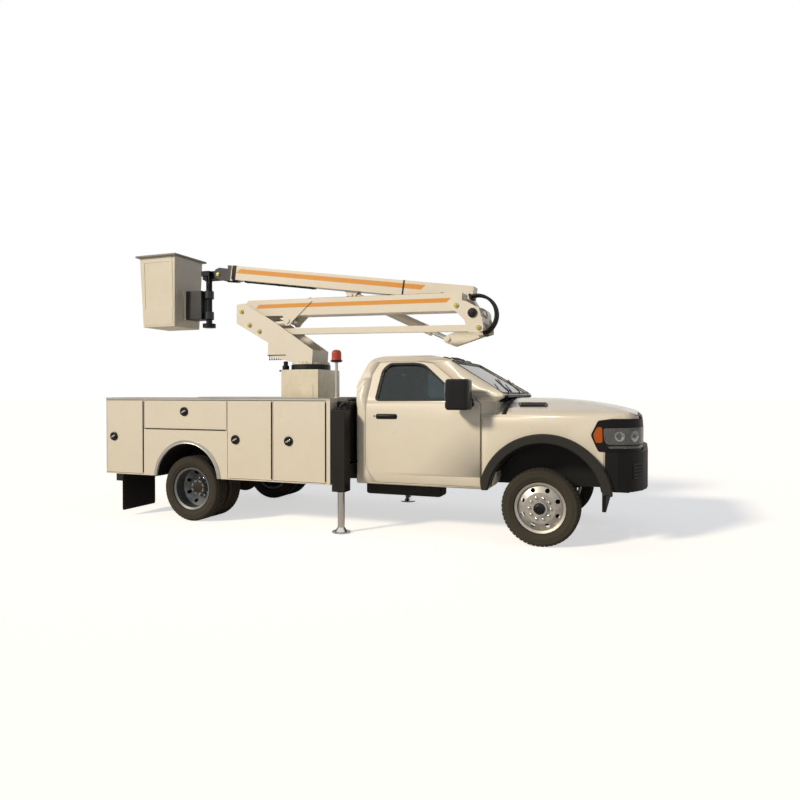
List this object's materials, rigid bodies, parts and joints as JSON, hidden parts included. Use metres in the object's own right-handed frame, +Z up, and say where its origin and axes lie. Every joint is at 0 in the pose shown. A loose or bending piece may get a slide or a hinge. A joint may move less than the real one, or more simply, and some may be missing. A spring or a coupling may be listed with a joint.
{
  "type": "cherry picker truck",
  "caption": "Utility truck with side lockers, a turning pedestal and two folding booms that carry a person's bucket, with levelling link, outriggers and dual rear wheels.",
  "frame": {"origin": "middle of the truck's footprint, from the bucket's lip to the front bumper, on the ground", "axes": "+X forward, +Y to the truck's left, +Z up"},
  "size_m": [7.22, 2.69, 3.659],
  "materials": {
    "body_white": "gloss white paint",
    "boom_white": "gloss white paint with yellow-orange stripes",
    "chassis_black": "satin black paint",
    "moulded_black": "grained black plastic",
    "window_glass": "tinted glass",
    "tyre_rubber": "matt rubber",
    "wheel_steel": "silver painted steel",
    "chrome": "polished",
    "bright_plate": "brushed",
    "seat_vinyl": "grained",
    "lamp_lens": "clear moulded lens",
    "beacon_amber": "amber lens",
    "hose_rubber": "satin",
    "iron": "rough casting",
    "bucket_shell": "gelcoat on fibreglass"
  },
  "bodies": {
    "chassis": {"frame_rails": "chassis_black", "crossmembers": "chassis_black", "front_axle": "iron", "rear_axle": "iron", "engine_block": "iron", "fuel_tank": "chassis_black", "cab_shell": "body_white", "cab_glass": "window_glass", "cab_interior": "seat_vinyl", "front_fenders": "body_white", "grille": "moulded_black", "headlamps": "lamp_lens", "front_bumper": "moulded_black", "wheel_flares": "moulded_black", "body_side_right": "body_white", "body_side_left": "body_white", "body_floor": "body_white", "rear_bumper": "chassis_black", "pedestal": "bright_plate", "outrigger_tubes": "chassis_black", "beacon": "beacon_amber"},
    "hood": {"hood": "body_white"},
    "door_right": {"cab_door_right": "body_white", "door_glass_right": "window_glass", "mirror_right": "moulded_black"},
    "door_left": {"cab_door_left": "body_white", "door_glass_left": "window_glass", "mirror_left": "moulded_black"},
    "locker_rear_right": {"locker_rear_right": "body_white"},
    "locker_top_right": {"locker_top_right": "body_white"},
    "locker_mid_right": {"locker_mid_right": "body_white"},
    "locker_front_right": {"locker_front_right": "body_white"},
    "locker_rear_left": {"locker_rear_left": "body_white"},
    "locker_top_left": {"locker_top_left": "body_white"},
    "locker_mid_left": {"locker_mid_left": "body_white"},
    "locker_front_left": {"locker_front_left": "body_white"},
    "knuckle_right": {"knuckle_right": "iron"},
    "front_wheel_right": {"front_rim_right": "wheel_steel", "front_tyre_right": "tyre_rubber"},
    "rear_wheels_right": {"rear_rims_right": "wheel_steel", "rear_tyres_right": "tyre_rubber"},
    "knuckle_left": {"knuckle_left": "iron"},
    "front_wheel_left": {"front_rim_left": "wheel_steel", "front_tyre_left": "tyre_rubber"},
    "rear_wheels_left": {"rear_rims_left": "wheel_steel", "rear_tyres_left": "tyre_rubber"},
    "turret": {"turret": "boom_white"},
    "link": {"link": "boom_white"},
    "lower_boom": {"lower_boom": "boom_white"},
    "lift_barrel": {"lift_barrel": "boom_white"},
    "lift_rod": {"lift_rod": "chrome"},
    "elbow": {"elbow": "boom_white", "hose_loop": "hose_rubber"},
    "upper_boom": {"upper_boom": "boom_white"},
    "upper_barrel": {"upper_barrel": "boom_white"},
    "upper_rod": {"upper_rod": "chrome"},
    "boom_tip": {"boom_tip": "chassis_black"},
    "bucket": {"bucket": "bucket_shell"},
    "outrigger_leg_right": {"outrigger_leg_right": "chrome"},
    "outrigger_leg_left": {"outrigger_leg_left": "chrome"}
  },
  "joints": [
    {"name": "door_right_open", "type": "hinge", "parent": "chassis", "child": "door_right", "pos_m": [1.91002, -0.998, 1], "axis": [0, 0, 1], "range_deg": [0, 65]},
    {"name": "door_left_open", "type": "hinge", "parent": "chassis", "child": "door_left", "pos_m": [1.91002, 0.998, 1], "axis": [0, 0, -1], "range_deg": [0, 65]},
    {"name": "hood_open", "type": "hinge", "parent": "chassis", "child": "hood", "pos_m": [2.20802, 0, 1.482], "axis": [0, -1, 0], "range_deg": [0, 50]},
    {"name": "locker_rear_right_open", "type": "hinge", "parent": "chassis", "child": "locker_rear_right", "pos_m": [-2.44098, -1.21, 1], "axis": [0, 0, 1], "range_deg": [0, 85]},
    {"name": "locker_top_right_open", "type": "hinge", "parent": "chassis", "child": "locker_top_right", "pos_m": [-1.71998, -1.21, 1.146], "axis": [1, 0, 0], "range_deg": [0, 90]},
    {"name": "locker_mid_right_open", "type": "hinge", "parent": "chassis", "child": "locker_mid_right", "pos_m": [-0.54598, -1.21, 1], "axis": [0, 0, 1], "range_deg": [0, 85]},
    {"name": "locker_front_right_open", "type": "hinge", "parent": "chassis", "child": "locker_front_right", "pos_m": [0.16402, -1.21, 1], "axis": [0, 0, 1], "range_deg": [0, 85]},
    {"name": "locker_rear_left_open", "type": "hinge", "parent": "chassis", "child": "locker_rear_left", "pos_m": [-2.44098, 1.21, 1], "axis": [0, 0, -1], "range_deg": [0, 85]},
    {"name": "locker_top_left_open", "type": "hinge", "parent": "chassis", "child": "locker_top_left", "pos_m": [-1.71998, 1.21, 1.146], "axis": [-1, 0, 0], "range_deg": [0, 90]},
    {"name": "locker_mid_left_open", "type": "hinge", "parent": "chassis", "child": "locker_mid_left", "pos_m": [-0.54598, 1.21, 1], "axis": [0, 0, -1], "range_deg": [0, 85]},
    {"name": "locker_front_left_open", "type": "hinge", "parent": "chassis", "child": "locker_front_left", "pos_m": [0.16402, 1.21, 1], "axis": [0, 0, -1], "range_deg": [0, 85]},
    {"name": "steer_right", "type": "hinge", "parent": "chassis", "child": "knuckle_right", "pos_m": [2.56002, -0.8, 0.405], "axis": [0, 0, 1], "range_deg": [-32, 32]},
    {"name": "front_wheel_right_spin", "type": "hinge", "parent": "knuckle_right", "child": "front_wheel_right", "pos_m": [2.56002, -0.967, 0.405], "axis": [0, 1, 0], "continuous": true},
    {"name": "rear_wheels_right_spin", "type": "hinge", "parent": "chassis", "child": "rear_wheels_right", "pos_m": [-1.71998, -0.942, 0.405], "axis": [0, 1, 0], "continuous": true},
    {"name": "steer_left", "type": "hinge", "parent": "chassis", "child": "knuckle_left", "pos_m": [2.56002, 0.8, 0.405], "axis": [0, 0, 1], "range_deg": [-32, 32]},
    {"name": "front_wheel_left_spin", "type": "hinge", "parent": "knuckle_left", "child": "front_wheel_left", "pos_m": [2.56002, 0.967, 0.405], "axis": [0, 1, 0], "continuous": true},
    {"name": "rear_wheels_left_spin", "type": "hinge", "parent": "chassis", "child": "rear_wheels_left", "pos_m": [-1.71998, 0.942, 0.405], "axis": [0, 1, 0], "continuous": true},
    {"name": "turret_slew", "type": "hinge", "parent": "chassis", "child": "turret", "pos_m": [-0.66998, 0, 1.99], "axis": [0, 0, 1], "continuous": true},
    {"name": "lower_boom_lift", "type": "hinge", "parent": "turret", "child": "lower_boom", "pos_m": [-1.61998, 0, 2.72], "axis": [0, -1, 0], "range_deg": [0, 75]},
    {"name": "link_swing", "type": "hinge", "parent": "turret", "child": "link", "pos_m": [-1.33998, 0, 2.44], "axis": [0, -1, 0], "range_deg": [0, 75]},
    {"name": "elbow_level", "type": "hinge", "parent": "lower_boom", "child": "elbow", "pos_m": [1.41961, 0, 2.67013], "axis": [0, -1, 0], "range_deg": [-75, 0]},
    {"name": "lift_barrel_swing", "type": "hinge", "parent": "turret", "child": "lift_barrel", "pos_m": [-1.49498, 0, 2.53], "axis": [0, -1, 0], "range_deg": [0, 72.5]},
    {"name": "lift_rod_slide", "type": "slide", "parent": "lift_barrel", "child": "lift_rod", "axis": [0.9966, 0, 0.0823], "range_m": [0, 0.2767]},
    {"name": "upper_boom_lift", "type": "hinge", "parent": "elbow", "child": "upper_boom", "pos_m": [1.62361, 0.3, 2.57013], "axis": [0, 1, 0], "range_deg": [0, 75]},
    {"name": "upper_barrel_swing", "type": "hinge", "parent": "upper_boom", "child": "upper_barrel", "pos_m": [-0.18039, 0.3, 2.94013], "axis": [0, 1, 0], "range_deg": [0, 0.81]},
    {"name": "upper_rod_slide", "type": "slide", "parent": "upper_barrel", "child": "upper_rod", "axis": [0.906, 0, -0.4232], "range_m": [0, 0.623]},
    {"name": "bucket_level", "type": "hinge", "parent": "upper_boom", "child": "boom_tip", "pos_m": [-2.31002, 0.3, 3.34901], "axis": [0, 1, 0], "range_deg": [-75, 0]},
    {"name": "bucket_turn", "type": "hinge", "parent": "boom_tip", "child": "bucket", "pos_m": [-2.55002, 0.3, 2.88901], "axis": [0, 0, 1], "range_deg": [-90, 90]},
    {"name": "outrigger_right_lift", "type": "slide", "parent": "chassis", "child": "outrigger_leg_right", "axis": [0, 0, 1], "range_m": [0, 0.36]},
    {"name": "outrigger_left_lift", "type": "slide", "parent": "chassis", "child": "outrigger_leg_left", "axis": [0, 0, 1], "range_m": [0, 0.36]}
  ],
  "couplings": [
    {"joint": "steer_left", "follows": "steer_right", "ratio": 1},
    {"joint": "link_swing", "follows": "lower_boom_lift", "ratio": 1},
    {"joint": "elbow_level", "follows": "lower_boom_lift", "ratio": -1},
    {"joint": "lift_barrel_swing", "follows": "lower_boom_lift", "ratio": 0.96024},
    {"joint": "lift_rod_slide", "follows": "lower_boom_lift", "m_per_rad": 0.20985},
    {"joint": "upper_barrel_swing", "follows": "upper_boom_lift", "ratio": 0.009},
    {"joint": "upper_rod_slide", "follows": "upper_boom_lift", "m_per_rad": 0.47441},
    {"joint": "bucket_level", "follows": "upper_boom_lift", "ratio": -1}
  ]
}
